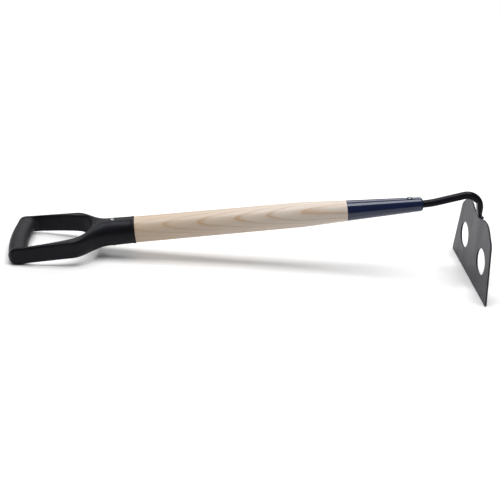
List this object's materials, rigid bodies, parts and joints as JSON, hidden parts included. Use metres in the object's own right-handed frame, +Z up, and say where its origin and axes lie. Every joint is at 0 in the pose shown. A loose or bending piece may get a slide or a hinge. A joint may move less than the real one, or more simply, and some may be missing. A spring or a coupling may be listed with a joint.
{
  "type": "mixing hoe",
  "caption": "Short-handled mixing hoe: flat holed sheet blade on a gooseneck rod, tapered ferrule, wooden handle and moulded D-grip.",
  "frame": {"origin": "on the ground under the middle of the tool as it lies at rest on its crossbar and the blade's edge", "axes": "+X from the D-grip to the blade, +Y across the tool, +Z up"},
  "size_m": [0.6574, 0.1768, 0.1327],
  "materials": {
    "blade_steel": "satin gunmetal coat",
    "black_rod": "semi-gloss black enamel",
    "weld_metal": "rippled weld under black enamel",
    "blue_paint": "glossy navy blue paint",
    "pin_steel": "bright zinc plate",
    "ash_wood": "clear satin lacquer",
    "grip_plastic": "fine moulded texture",
    "rivet_steel": "bright zinc plate",
    "washer_steel": "dull zinc plate"
  },
  "bodies": {
    "root": {"blade": "blade_steel", "gooseneck_shank": "black_rod", "weld_bead": "weld_metal", "ferrule": "blue_paint", "ferrule_pin": "pin_steel", "wood_handle": "ash_wood", "d_grip": "grip_plastic", "grip_rivet": "rivet_steel", "grip_rivet_washer": "washer_steel"}
  },
  "joints": []
}
